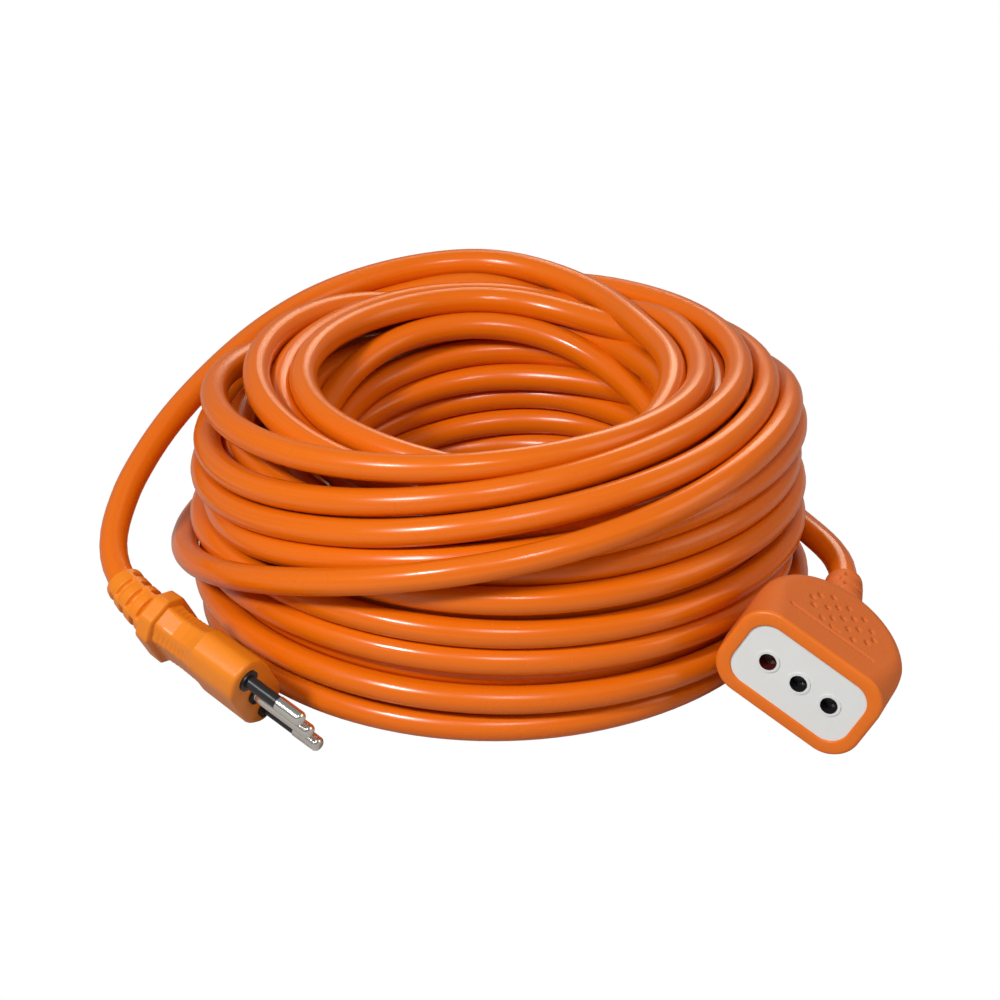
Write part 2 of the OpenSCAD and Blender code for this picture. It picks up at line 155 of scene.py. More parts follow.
# The plug's outside along its axis: station, half width, half thickness, crispness of edges
PLUG_SECTIONS = np.array([
    (0, 14.1, 6.0, 16), (0.4, 14.75, 6.6, 16), (1.0, 15.0, 6.8, 16), (15.2, 14.2, 6.6, 18),
    (15.5, 13.5, 6.2, 40), (18, 12.0, 5.9, 60), (21, 10.8, 5.8, 60), (24, 10.2, 5.75, 60),
    (27, 10.5, 5.85, 60), (29.2, 11.2, 6.1, 50), (29.45, 12.2, 7.3, 40), (29.8, 12.6, 7.6, 40),
    (33.4, 12.4, 7.5, 40), (33.8, 12.0, 7.2, 40), (34, 11.4, 6.8, 40),
])
PLUG_SIDE_SHARE = 0.45
PLUG_TOP_SHARE = 0.6
PLUG_RIB_PITCH = 1.4
PLUG_RIB_DEPTH = 0.35
PLUG_RIB_SPAN = (16.5, 28.5)
PLUG_RIB_FADE = 1.5
# Where the bevels begin and over how much they come in, as shares of the half thickness
# and of the half width
PLUG_BEVEL_UP = (0.6, 0.2)
PLUG_BEVEL_OUT = (0.5, 0.15)
PLUG_RINGS, PLUG_SIDES = 300, 168

# The socket's outside, and the marks pressed into its top: (along the row, behind the face)
SOCKET_W, SOCKET_T, SOCKET_L = 42.8, 26.8, 32.0
SOCKET_EDGES = (8.5, 4.5)
PLATE_W, PLATE_H, PLATE_CORNER = 35.4, 19.4, 5.8
HOLE_R, HOLE_PITCH = 2.3, 9.5
SOCKET_DIMPLES = [
    (-4.8, 11.1), (4.8, 11.1), (-8.3, 13.9), (-2.4, 13.9), (2.4, 13.9), (8.3, 13.9),
    (-9.5, 16.7), (-4.8, 16.7), (0, 16.7), (4.8, 16.7), (9.5, 16.7),
    (-8, 19.5), (-2.4, 19.5), (2.4, 19.5), (8, 19.5), (-4.8, 22.2), (0, 22.2), (4.8, 22.2),
]
DIMPLE_R, DIMPLE_DEPTH, DIMPLE_EDGE = 0.85, 0.8, 0.3
# The groove and the slot: both ends along the row, place behind the face, half width, depth
SOCKET_CUTS = [(-13.6, 12.0, 8.5, 0.4, 0.7), (-2.1, 0.9, 10.3, 0.5, 0.8)]
CUT_EDGE, CUT_SPREAD = 0.25, 0.1
TOP_REACH = 3

SOCKET_QUARTER = 101
SOCKET_RIM_RINGS = 8

# Dark sleeves in the three holes, closed at the back: painted shade where the holes fall dark
# inside
SHADE_SLEEVE_SIDES, SHADE_SLEEVE_RINGS = 40, 8
SHADE_SLEEVE_GAP, SHADE_SLEEVE_START, SHADE_SLEEVE_END = 0.02, -0.05, -3.6

# A strain relief: radii at the root, the tip and the floor of its slots, the flare at its
# root, the rounding of its tip, and its slots
RELIEF_ROOT_R, RELIEF_TIP_R, RELIEF_FLOOR_R = 6.1, 5.0, 4.1
RELIEF_SIDES, RELIEF_STEP, RELIEF_STATIONS = 96, 0.2, 14
FLARE, FLARE_SPAN = 0.9, 1.2
TIP_ROUND, TIP_SPAN = 1.1, 0.8
SLOT_COLUMNS, SLOT_HALF_ANGLE, SLOT_SIDE_EDGE = 4, 40, 0.12
SLOT_FIRST, SLOT_SPARE, SLOT_SHIFT = 2.2, 4.4, 0.28
SLOT_HALF, SLOT_EDGE = 0.95, 0.25

CAMERA_AT = (-0.0004, -1.0875, 0.5084)
CAMERA_TILT = 90 - 23.5
CAMERA_LENS, CAMERA_SENSOR = 159, 36
FLOOR_HALF = 4
WORLD_STRENGTH = 0.24
WHITE_LIGHT, WARM_LIGHT = (1, 1, 1), (1.0, 0.84, 0.62)
# Name, place, the point it faces, size, power, tint
SOFTBOXES = [
    ("key", (-0.7, -0.85, 0.9), (0, 0, 0.03), 0.2, 13, WHITE_LIGHT),
    ("front", (0.05, -1.0, 1.0), (0, 0, 0.03), 0.22, 4, WHITE_LIGHT),
    ("side", (1.0, -0.3, 0.5), (0, 0, 0.03), 0.6, 2.5, WARM_LIGHT),
    ("back", (0.2, 1.0, 0.8), (0, 0, 0.05), 0.5, 4, WARM_LIGHT),
]


# ---------------------------------------------------------------- geometry helpers

def turn_matrix(angles):
    """Rotation about X, then Y, then Z, in degrees."""
    ax, ay, az = np.radians(angles)
    about_x = [[1, 0, 0], [0, math.cos(ax), -math.sin(ax)], [0, math.sin(ax), math.cos(ax)]]
    about_y = [[math.cos(ay), 0, math.sin(ay)], [0, 1, 0], [-math.sin(ay), 0, math.cos(ay)]]
    about_z = [[math.cos(az), -math.sin(az), 0], [math.sin(az), math.cos(az), 0], [0, 0, 1]]
    return np.array(about_z) @ np.array(about_y) @ np.array(about_x)


def on_plug(points):
    """Plug frame (X out of the face, Y along the pins) to the row frame, in mm."""
    return np.asarray(points, float) @ turn_matrix(PLUG_TURN).T + PLUG_AT


def on_socket(points):
    """Socket frame (X out of the face, Y along the holes) to the row frame, in mm."""
    return np.asarray(points, float) @ turn_matrix(SOCKET_TURN).T + SOCKET_AT


def ramp(value, span):
    """0 up to zero, 1 from the span on, and a straight rise between."""
    return np.clip(value / span, 0, 1)


def make_piece(name, points_mm, faces, material, uv=None):
    """A smooth-shaded mesh object at the origin from points in mm."""
    mesh = bpy.data.meshes.new(name)
    mesh.from_pydata((np.asarray(points_mm) * MM).tolist(), [], [list(f) for f in faces])
    mesh.update()
    if uv is not None:
        layer = mesh.uv_layers.new(name="UVMap")
        loops = np.empty(len(mesh.loops), int)
        mesh.loops.foreach_get("vertex_index", loops)
        layer.data.foreach_set("uv", np.asarray(uv)[loops].ravel())
    mesh.polygons.foreach_set("use_smooth", np.ones(len(mesh.polygons), bool))
    mesh.materials.append(material)
    piece = bpy.data.objects.new(name, mesh)
    bpy.context.collection.objects.link(piece)
    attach(piece, "root")
    return piece


def grid_faces(rows, cols):
    """Quads of a grid of rings that closes on itself round each ring."""
    i = np.arange(rows - 1)[:, None]
    j = np.arange(cols)[None, :]
    k = (j + 1) % cols
    a = i * cols + j
    return np.stack([a, i * cols + k, (i + 1) * cols + k, (i + 1) * cols + j], -1).reshape(-1, 4)


def along(path):
    """Unit directions along a path, by central differences."""
    step = np.gradient(path, axis=0)
    return step / np.linalg.norm(step, axis=1, keepdims=True)


def frames_along(path):
    """Two unit normals at each point of a path, carried along it without twist:
    each is the last one less its part along the new direction."""
    t = along(path)
    side = np.empty_like(t)
    side[0] = np.cross(t[0], (0, 0, 1))
    for i in range(1, len(t)):
        side[i] = side[i - 1] - t[i] * (side[i - 1] @ t[i])
        side[i] /= np.linalg.norm(side[i])
    side[0] /= np.linalg.norm(side[0])
    return side, np.cross(t, side)


def smooth_path(points, spacing):
    """A Catmull-Rom curve through the points, walked at equal steps."""
    p = np.asarray(points, float)
    p = np.vstack([2 * p[0] - p[1], p, 2 * p[-1] - p[-2]])
    u = np.linspace(0, 1, 24, endpoint=False)[:, None]
    spans = []
    for a, b, c, d in zip(p[:-3], p[1:-2], p[2:-1], p[3:]):
        spans.append(0.5 * (2 * b + (c - a) * u + (2 * a - 5 * b + 4 * c - d) * u**2
                            + (3 * b - a - 3 * c + d) * u**3))
    return resample(np.vstack(spans + [p[-2:-1]]), spacing)


def run_of(path):
    """How far along the line each of its points lies."""
    return np.concatenate([[0], np.cumsum(np.linalg.norm(np.diff(path, axis=0), axis=1))])


def resample(path, spacing):
    """The same line with its points at equal distances along it."""
    run = run_of(path)
    at = np.linspace(0, run[-1], max(2, int(round(run[-1] / spacing)) + 1))
    return np.stack([np.interp(at, run, path[:, i]) for i in range(3)], 1)


def relax_line(path, rounds, hold):
    """Each inner point moves halfway to the mean of its neighbours; the ends hold still."""
    path = path.copy()
    for _ in range(rounds):
        path[hold:-hold] += 0.5 * middle_pull(path)[hold:-hold]
    return path


def middle_pull(path):
    """How far the mean of a point's two neighbours lies from the point."""
    pull = np.zeros_like(path)
    pull[1:-1] = 0.5 * (path[:-2] + path[2:]) - path[1:-1]
    return pull


def ease_bends(path, least, hold):
    """Wherever the line bends tighter than the least radius, that stretch alone is relaxed,
    again and again, until no bend is tighter or the rounds are used up."""
    path = path.copy()
    reach = np.ones(2 * BEND_REACH + 1)
    for _ in range(BEND_ROUNDS):
        step = np.linalg.norm(np.gradient(path, axis=0), axis=1)
        bend = np.linalg.norm(np.gradient(along(path), axis=0), axis=1) / step
        tight = np.convolve(bend * least > 1, reach, "same") > 0
        tight[:hold] = tight[-hold:] = False
        if not tight.any():
            break
        path += 0.5 * middle_pull(path) * tight[:, None]
    return path


def tube(name, path, radius, sides, material):
    """A tube along a path: point + radius (cos a * side + sin a * up), closed at each end.
    The radius is one number, or one for every point and side. The UV map runs along the
    length in mm and round the section."""
    side, up = frames_along(path)
    a = np.linspace(0, 2 * math.pi, sides, endpoint=False)
    radius = np.broadcast_to(radius, (len(path), sides))[..., None]
    ring = np.cos(a)[None, :, None] * side[:, None] + np.sin(a)[None, :, None] * up[:, None]
    points = (path[:, None] + radius * ring).reshape(-1, 3)
    faces = grid_faces(len(path), sides).tolist()
    last = (len(path) - 1) * sides
    faces.append(list(range(sides))[::-1])
    faces.append([last + i for i in range(sides)])
    run, share = np.broadcast_arrays(run_of(path)[:, None], a[None, :] / (2 * math.pi))
    return make_piece(name, points, faces, material, uv=np.stack([run, share], -1).reshape(-1, 2))


# ---------------------------------------------------------------- the coil

def turn_shape(marks, angle):
    """Radius and height of one turn round the coil: the curve of sines and cosines that
    passes through its marks. Each mark weighs sin(n x / 2) cos(x / 2) / (n sin(x / 2)),
    where x is the angle from that mark and n the number of marks."""
    marks = np.asarray(marks, float)
    n = len(marks)
    x = angle[:, None] - 2 * math.pi * np.arange(n) / n + 1e-7
    weight = np.sin(n * x / 2) * np.cos(x / 2) / (n * np.sin(x / 2))
    return weight @ marks


def lead_in_section(route, angles):
    """Where a free lead lies over the coil, as radius and height at each station angle."""
    path = smooth_path(route, 1.0)
    r = np.hypot(path[:, 0], path[:, 1])
    at = np.arctan2(path[:, 1], path[:, 0]) % (2 * math.pi)
    out = np.full((len(angles), 2), FAR_OFF / 10)
    for i, angle in enumerate(angles):
        gap = np.abs((at - angle + math.pi) % (2 * math.pi) - math.pi)
        j = int(np.argmin(gap))
        if gap[j] < 0.05:
            out[i] = r[j], path[j, 2]
    return out


def turn_gates():
    """The angle at which each turn gives way to the next: the first time that its crossover
    comes round again, at least a third of a turn on. The last one is where the coil ends."""
    gates = []
    at = COIL_START
    for _, crossover, _ in TURNS:
        ahead = (crossover - at) % 360
        at += ahead if ahead > LEAST_TURN else ahead + 360
        gates.append(at)
    return np.radians(gates)


def turn_mix(theta, gates):
    """Which turn each station is on, and how far it has passed to the next one."""
    gates = gates[:-1] + math.radians(CROSSOVER_STRAY) * np.sin(2.4 * np.arange(len(gates) - 1))
    half = math.radians(CROSSOVER_SPAN) / 2
    turn = np.searchsorted(gates - half, theta) - 1
    s = np.clip((theta - gates[turn] + half) / (2 * half), 0, 1) * (turn >= 0)
    return np.maximum(turn, 0), s * s * (3 - 2 * s)


def wind_coil():
    """The coil's centreline, in mm. Every turn starts where its marks put it and passes to
    the next one in its crossover. Then, station by station, turns nearer than one diameter
    push each other apart in the radius-height plane, while each turn is smoothed along its
    length and drawn to its own place, the firm ones more than the loose ones."""
    step = 2 * math.pi / STATIONS
    gates = turn_gates()
    start = math.radians(COIL_START)
    count = int((gates[-1] - start) / step)
    theta = start + step * np.arange(count)
    i = np.arange(count)
    shapes = np.stack([turn_shape(marks, theta) for _, _, marks in TURNS])
    firm = np.array([t[0] for t in TURNS], float)
    turn, s = turn_mix(theta, gates)
    want = shapes[turn, i] * (1 - s[:, None]) + shapes[turn + 1, i] * s[:, None]
    hold = (firm[turn] * (1 - s) + firm[turn + 1] * s)[:, None]

    slot = int(round(start / step)) + i
    row, col = slot // STATIONS, slot % STATIONS
    rows = int(row[-1]) + 1
    angles = step * np.arange(STATIONS)
    leads = np.stack([lead_in_section(lead[1:], angles) for lead in (PLUG_ROUTE, SOCKET_ROUTE)])
    place = want.copy()
    field = np.full((rows + 2, STATIONS, 2), FAR_OFF)
    field += np.arange(rows + 2)[:, None, None] * FAR_OFF / 100
    field[rows:] = leads
    give = np.ones((rows + 2, STATIONS))
    give[row, col] = 1 / hold[:, 0]
    give[rows:] = 0
    share = give[:, None] / (give[:, None] + give[None, :] + 1e-9)
    own = np.arange(rows + 2)
    for go in range(SETTLING_ROUNDS):
        field[row, col] = place
        apart = field[:, None] - field[None, :]
        near = np.hypot(apart[..., 0], apart[..., 1])
        near[own, own] = FAR_OFF
        push = np.clip(CORD_D * KEPT_GAP - near, 0, None) / np.maximum(near, 1e-3) * share
        place += PUSH_TAKEN * (apart * push[..., None]).sum(1)[row, col]
        draw = EARLY_DRAW if go < SETTLING_ROUNDS * EARLY_SHARE else LATE_DRAW
        place += np.minimum(draw * hold, MOST_DRAW) * (want - place)
        place += 0.5 * middle_pull(place)
        place[:, 1] = np.clip(place[:, 1], CORD_R, COIL_TOP)
        place[0], place[-1] = want[0], want[-1]
    return np.stack([place[:, 0] * np.cos(theta), place[:, 0] * np.sin(theta), place[:, 1]], 1)


def cord_route():
    """The whole cord as one line from the socket's strain relief to the plug's."""
    coil = wind_coil()
    socket_end = [on_socket((x, 0, 0)) for x in (SOCKET_CORD_END, SOCKET_CORD_END - 8)]
    plug_end = [on_plug((x, 0, 0)) for x in (PLUG_CORD_END - 14, PLUG_CORD_END)]
    first = smooth_path(socket_end + SOCKET_ROUTE[:0:-1], CORD_STEP)
    last = smooth_path(PLUG_ROUTE[1:] + plug_end, CORD_STEP)
    whole = resample(np.vstack([first, coil, last]), CORD_STEP / 2)
    whole = relax_line(whole, 30, 4)
    return resample(ease_bends(whole, LEAST_BEND, 2), CORD_STEP)


# ---------------------------------------------------------------- plug, socket and reliefs

def shell(name, rings, material, front, back):
    """A skin over closed rings of points, with a flat cap at the front or the back."""
    count, sides = rings.shape[:2]
    faces = grid_faces(count, sides).tolist()
    if front:
        faces.append(list(range(sides))[::-1])
    if back:
        faces.append([(count - 1) * sides + i for i in range(sides)])
    return make_piece(name, rings.reshape(-1, 3), faces, material)


def plug_rings():
    """The plug's sections from its face to its collar: long octagons with soft edges. Along a
    ray, one over the radius is the q-norm of cos(ray - facet) / facet distance over the eight
    facets, so a larger q gives crisper edges. The grip's bevels dip in a row of fine ribs."""
    stations, *measures = PLUG_SECTIONS.T
    depth = np.linspace(0, stations[-1], PLUG_RINGS)[:, None]
    width, thick, crisp = (np.interp(depth, stations, measure) for measure in measures)
    a = np.linspace(0, 2 * math.pi, PLUG_SIDES, endpoint=False)[None, :]
    slant_y, slant_z = thick * (1 - PLUG_SIDE_SHARE), width * (1 - PLUG_TOP_SHARE)
    size = np.hypot(slant_y, slant_z)
    slant = (width * slant_y + PLUG_SIDE_SHARE * thick * slant_z) / size
    y, z = np.abs(np.cos(a)), np.abs(np.sin(a))
    bevelled = (y * slant_y + z * slant_z) / size / slant
    facets = (y / width)**crisp + (z / thick)**crisp + bevelled**crisp
    reach = facets**(-1 / crisp)
    y, z = reach * np.cos(a), reach * np.sin(a)
    up, up_span = PLUG_BEVEL_UP
    out, out_span = PLUG_BEVEL_OUT
    bevel = ramp(np.abs(z) / thick - up, up_span) * ramp(np.abs(y) / width - out, out_span)
    start, stop = PLUG_RIB_SPAN
    along_grip = ramp(depth - start, PLUG_RIB_FADE) * ramp(stop - depth, PLUG_RIB_FADE)
    rib = PLUG_RIB_DEPTH * (0.5 - 0.5 * np.cos(2 * math.pi * depth / PLUG_RIB_PITCH))
    z = z - np.sign(z) * rib * bevel * along_grip
    points = np.stack([np.broadcast_to(-depth, y.shape), y, z], -1)
    return on_plug(points.reshape(-1, 3)).reshape(points.shape)


def mirrored(quarter):
    """A closed ring of (y, z) points from the quarter between the +Y side and the top."""
    second = (quarter * (-1, 1))[::-1]
    half = np.vstack([quarter[:-1], second[:-1]])
    return np.vstack([half, -half])


def even_steps(line, count):
    """count points at equal distances along a line of (y, z) points."""
    run = run_of(line)
    at = np.linspace(0, run[-1], count)
    return np.stack([np.interp(at, run, line[:, k]) for k in (0, 1)], 1)


def plate_ring(grow, count):
    """The opening for the face plate, grown on every side: a rectangle with round corners."""
    w, h, r = PLATE_W / 2 + grow, PLATE_H / 2 + grow, PLATE_CORNER + grow
    a = np.linspace(0, math.pi / 2, 30)
    corner = np.stack([w - r + r * np.cos(a), h - r + r * np.sin(a)], 1)
    return mirrored(even_steps(np.vstack([[(w, 0)], corner, [(0, h)]]), count))


def socket_ring(depth, count):
    """The socket's section at a depth behind its face. The plan is a half-round, and near its
    border the height falls off as a quarter circle, rounder at the face than at the back."""
    half = SOCKET_W / 2
    edge = np.interp(depth, (2, 16), SOCKET_EDGES)
    past = max(0.0, depth - (SOCKET_L - half))
    reach = math.sqrt(max(half**2 - past**2, 0.0))
    y = reach * np.cos(np.linspace(0, math.pi / 2, 160))
    inward = np.clip(half - np.hypot(past, y), 0, edge)
    z = SOCKET_T / 2 - edge + np.sqrt(edge**2 - (edge - inward)**2)
    return mirrored(even_steps(np.vstack([[(reach, 0)], np.stack([y, z], 1)]), count))


def pressed(y, depth):
    """How deep the marks on the socket's top are: round dimples, a long groove and a slot."""
    sunk = np.zeros_like(y)
    for at_y, at_depth in SOCKET_DIMPLES:
        gap = np.hypot(y - at_y, depth - at_depth)
        sunk = np.maximum(sunk, DIMPLE_DEPTH * ramp(DIMPLE_R - gap, DIMPLE_EDGE))
    for low, high, at, half, deep in SOCKET_CUTS:
        gap = np.maximum(np.abs(depth - at) - half, np.maximum(low - y, y - high))
        sunk = np.maximum(sunk, deep * ramp(CUT_SPREAD - gap, CUT_EDGE))
    return sunk


def socket_rings():
    """The socket's skin: from the seat of the face plate over the rim and back to its end."""
    count = SOCKET_QUARTER
    turn_in = [(3.4, 0.0), (0.35, 0.0), (0.08, 0.12), (0.0, 0.45)]
    rings = [(depth, plate_ring(grow, count)) for depth, grow in turn_in]
    outer = socket_ring(1, count)
    rounding = ((0, 0.045), (0.2, 0.016), (0.7, 0.003))
    rings += [(depth, outer * (1 - share)) for depth, share in rounding]
    straight = SOCKET_L - SOCKET_W / 2
    swing = np.linspace(0, 0.999 * math.pi / 2, 92)[1:]
    depths = np.concatenate([np.linspace(1, straight, 34),
                             straight + SOCKET_W / 2 * np.sin(swing)])
    for depth in depths:
        ring = socket_ring(depth, count)
        flat_top = ring[:, 1] > SOCKET_T / 2 - TOP_REACH
        ring[:, 1] -= flat_top * pressed(ring[:, 0], np.full(len(ring), depth))
        rings.append((depth, ring))
    points = np.array([np.column_stack([np.full(len(ring), -depth), ring])
                       for depth, ring in rings])
    return on_socket(points.reshape(-1, 3)).reshape(points.shape)


def relief(name, path, start, stop, rows, material):
    """A strain relief round the first part of the cord's path, between two distances along it.
    The radius falls evenly from root to tip and drops to a floor inside the slots, which stand
    in four rows round it, every other row half a step further on."""
    fine = resample(path[:RELIEF_STATIONS], RELIEF_STEP)
    run = RELIEF_STEP * np.arange(len(fine))
    keep = (run >= start) & (run <= stop)
    s = (run[keep] - start)[:, None]
    long = stop - start
    a = np.linspace(0, 2 * math.pi, RELIEF_SIDES, endpoint=False)[None, :]
    radius = RELIEF_ROOT_R + (RELIEF_TIP_R - RELIEF_ROOT_R) * s / long + 0 * a
    radius += FLARE * ramp(FLARE_SPAN - s, FLARE_SPAN)**2
    radius -= TIP_ROUND * ramp(s - long + TIP_SPAN, TIP_SPAN)**2
    pitch = (long - SLOT_SPARE) / rows
    for k in range(SLOT_COLUMNS):
        middle = 2 * math.pi * (k + 0.5) / SLOT_COLUMNS
        gap = (a - middle + math.pi) % (2 * math.pi) - math.pi
        across = ramp(math.radians(SLOT_HALF_ANGLE) - np.abs(gap), SLOT_SIDE_EDGE)
        for i in range(rows):
            centre = SLOT_FIRST + (i + SLOT_SHIFT + 0.5 * (k % 2)) * pitch
            length = ramp(SLOT_HALF - np.abs(s - centre), SLOT_EDGE)
            radius = np.minimum(radius, radius - (radius - RELIEF_FLOOR_R) * across * length)
    return tube(name, fine[keep], radius, RELIEF_SIDES, material)


# ---------------------------------------------------------------- materials

def node_group(name, inputs, outputs):
    """An empty shader node group: its inputs with their values, its outputs with their types."""
    tree = bpy.data.node_groups.new(name, "ShaderNodeTree")
    for label, value in inputs.items():
        socket = tree.interface.new_socket(label, in_out="INPUT", socket_type="NodeSocketFloat")
        socket.default_value = value
    for label, kind in outputs.items():
        tree.interface.new_socket(label, in_out="OUTPUT", socket_type="NodeSocket" + kind)
    given, result = tree.nodes.new("NodeGroupInput"), tree.nodes.new("NodeGroupOutput")
    return tree, given.outputs, result.inputs


def add(tree, kind, feeds, **settings):
    """A shader node with its settings. feeds gives each input a socket or a constant."""
    node = tree.nodes.new("ShaderNode" + kind)
    for key, value in settings.items():
        setattr(node, key, value)
    for label, source in feeds.items():
        if isinstance(source, bpy.types.NodeSocket):
            tree.links.new(source, node.inputs[label])
        else:
            node.inputs[label].default_value = source
    return node


def moulded_grain():
    """Shared skin of moulded parts: soft blotches, sparse scuffs and a fine grain."""
    tree, given, result = node_group("moulded_grain", {"Fineness": 900, "Depth": 0.15},
                                     {"Blotch": "Float", "Scuff": "Float", "Normal": "Vector"})
    where = add(tree, "TexCoord", {}).outputs["Object"]
    blotch = add(tree, "TexNoise", {"Vector": where, "Scale": 45, "Detail": 4})
    fine = add(tree, "TexNoise", {"Vector": where, "Scale": given["Fineness"], "Detail": 3})
    marks = add(tree, "TexNoise", {"Vector": where, "Scale": 210, "Detail": 6, "Roughness": 0.7})
    scuff = add(tree, "MapRange", {"Value": marks.outputs[0], "From Min": 0.6, "From Max": 0.76})
    bump = add(tree, "Bump", {"Height": fine.outputs[0], "Strength": given["Depth"],
                              "Distance": 0.0003})
    tree.links.new(blotch.outputs[0], result["Blotch"])
    tree.links.new(scuff.outputs[0], result["Scuff"])
    tree.links.new(bump.outputs[0], result["Normal"])
    return tree


def drawn_lines():
    """Shared skin of drawn or extruded parts: faint lines along the length and slow waves,
    from the UV map that runs along the length in mm and once round the section."""
    tree, given, result = node_group("drawn_lines", {"Lines": 26, "Depth": 0.2},
                                     {"Streak": "Float", "Normal": "Vector"})
    uv = add(tree, "TexCoord", {}).outputs["UV"]
    parts = add(tree, "SeparateXYZ", {"Vector": uv})
    slow = add(tree, "Math", {0: parts.outputs["X"], 1: 0.012}, operation="MULTIPLY")
    round_it = add(tree, "Math", {0: parts.outputs["Y"], 1: given["Lines"]}, operation="MULTIPLY")
    where = add(tree, "CombineXYZ", {"X": slow.outputs[0], "Y": round_it.outputs[0]})
    streak = add(tree, "TexNoise", {"Vector": where.outputs[0], "Scale": 1, "Detail": 3})
    place = add(tree, "TexCoord", {}).outputs["Object"]
    waves = add(tree, "TexNoise", {"Vector": place, "Scale": 70, "Detail": 1})
    height = add(tree, "Math", {0: streak.outputs[0], 1: waves.outputs[0]}, operation="ADD")
    bump = add(tree, "Bump", {"Height": height.outputs[0], "Strength": given["Depth"],
                              "Distance": 0.0004})
    tree.links.new(streak.outputs[0], result["Streak"])
    tree.links.new(bump.outputs[0], result["Normal"])
    return tree


GRAIN = moulded_grain()
LINES = drawn_lines()


def mix_colour(tree, amount, low, high):
    """The low colour where the amount is 0, the high one where it is 1, and a mix between."""
    node = add(tree, "Mix", {"Factor": amount}, data_type="RGBA")
    node.inputs["A"].default_value = (*low, 1)
    node.inputs["B"].default_value = (*high, 1)
    return node.outputs["Result"]


def new_material(name):
    """An empty material, its node tree and its main shader."""
    material = bpy.data.materials.new(name)
    material.use_nodes = True
    return material, material.node_tree, material.node_tree.nodes["Principled BSDF"]


def moulded(name, low, high, rough, fineness=900, depth=0.15, specular=0.4, metal=0.0):
    """Moulded plastic or cast metal: two near colours in blotches, grain, and duller scuffs."""
    material, tree, shader = new_material(name)
    skin = add(tree, "Group", {}, node_tree=GRAIN)
    skin.inputs["Fineness"].default_value = fineness
    skin.inputs["Depth"].default_value = depth
    tree.links.new(mix_colour(tree, skin.outputs["Blotch"], low, high), shader.inputs["Base Color"])
    dull = add(tree, "MapRange", {"Value": skin.outputs["Scuff"], "To Min": rough,
                                  "To Max": rough + 0.15})
    tree.links.new(dull.outputs[0], shader.inputs["Roughness"])
    tree.links.new(skin.outputs["Normal"], shader.inputs["Normal"])
    shader.inputs["Specular IOR Level"].default_value = specular
    shader.inputs["Metallic"].default_value = metal
    return material


def drawn(name, low, high, rough, lines, depth, specular):
    """An extruded sheath: two near colours in streaks, faint lines along it, uneven shine."""
    material, tree, shader = new_material(name)
    skin = add(tree, "Group", {}, node_tree=LINES)
    skin.inputs["Lines"].default_value = lines
    skin.inputs["Depth"].default_value = depth
    wear = add(tree, "Group", {}, node_tree=GRAIN)
    tree.links.new(mix_colour(tree, skin.outputs["Streak"], low, high), shader.inputs["Base Color"])
    dull = add(tree, "MapRange", {"Value": wear.outputs["Blotch"], "From Min": 0.3, "From Max": 0.7,
                                  "To Min": rough - 0.04, "To Max": rough + 0.08})
    tree.links.new(dull.outputs[0], shader.inputs["Roughness"])
    tree.links.new(skin.outputs["Normal"], shader.inputs["Normal"])
    shader.inputs["Specular IOR Level"].default_value = specular
    return material


def striped(name, ground, stripe, rough):
    """Core insulation in two colours: broad stripes that follow the core's length."""
    material = moulded(name, ground, ground, rough)
    tree = material.node_tree
    where = add(tree, "TexCoord", {}).outputs["Object"]
    wave = add(tree, "TexWave", {"Vector": where, "Scale": 120, "Distortion": 0.5})
    sharp = add(tree, "MapRange", {"Value": wave.outputs[1], "From Min": 0.45, "From Max": 0.55})
    tree.links.new(mix_colour(tree, sharp.outputs[0], ground, stripe),
                   tree.nodes["Principled BSDF"].inputs["Base Color"])
    return material


sheath = drawn("orange_sheath", (0.69, 0.120, 0.0015), (0.80, 0.165, 0.003), 0.22,
               22, 0.14, 0.42)
body_orange = moulded("orange_moulding", (0.76, 0.195, 0.006), (0.83, 0.235, 0.010), 0.36)
matte_orange = moulded("orange_matte", (0.62, 0.130, 0.020), (0.69, 0.160, 0.028), 0.62,
                       1500, 0.35, 0.3)
rim_orange = moulded("orange_rim", (0.74, 0.150, 0.006), (0.80, 0.175, 0.010), 0.4)
white = moulded("white_plate", (0.70, 0.72, 0.71), (0.76, 0.77, 0.76), 0.38, 700, 0.05)
# The black insert's own colour, also used for two of the socket's hole sleeves, where it is painted
# shade
black = moulded("black_insert_and_hole_shade", (0.010, 0.010, 0.011), (0.022, 0.022, 0.024), 0.3, 700, 0.08)
# The red of a part seen in one socket hole, darkened as painted shade for that hole's sleeve
dark_red = moulded("red_part_and_hole_shade", (0.07, 0.006, 0.005), (0.10, 0.010, 0.008), 0.4)
nickel = moulded("nickel", (0.78, 0.77, 0.71), (0.86, 0.85, 0.79), 0.2, 1800, 0.05, 0.5, 1.0)
brass = moulded("brass", (0.62, 0.44, 0.17), (0.74, 0.55, 0.24), 0.28, 1200, 0.08, 0.5, 1.0)
copper = moulded("copper", (0.62, 0.28, 0.15), (0.76, 0.38, 0.22), 0.3, 2400, 0.3, 0.5, 1.0)
core_brown = moulded("core_brown", (0.11, 0.045, 0.020), (0.15, 0.065, 0.03), 0.35)
core_blue = moulded("core_blue", (0.03, 0.11, 0.42), (0.045, 0.15, 0.52), 0.35)
core_striped = striped("core_green_yellow", (0.09, 0.32, 0.05), (0.72, 0.60, 0.04), 0.35)

NODE_FINISH = {
    "orange_pvc": body_orange, "orange_relief": body_orange, "white_plastic": white,
    "black_plastic": black, "nickel_pins": nickel, "cord_sheath": sheath,
    "brass_contacts": brass, "copper_wire": copper, "core_brown": core_brown,
    "core_blue": core_blue, "core_green_yellow": core_striped,
}
for entry in frame["record"]["subparts"]:
    mesh = frame["nodes"][entry["node"]].data
    mesh.materials.clear()
    mesh.materials.append(NODE_FINISH[entry["material_slot"]])

# ---------------------------------------------------------------- the cord and its ends

route = cord_route()
cord = tube("cord", route, CORD_R, CORD_SIDES, sheath)
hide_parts("cord_coil", "cord_plug_lead", "cord_socket_lead")

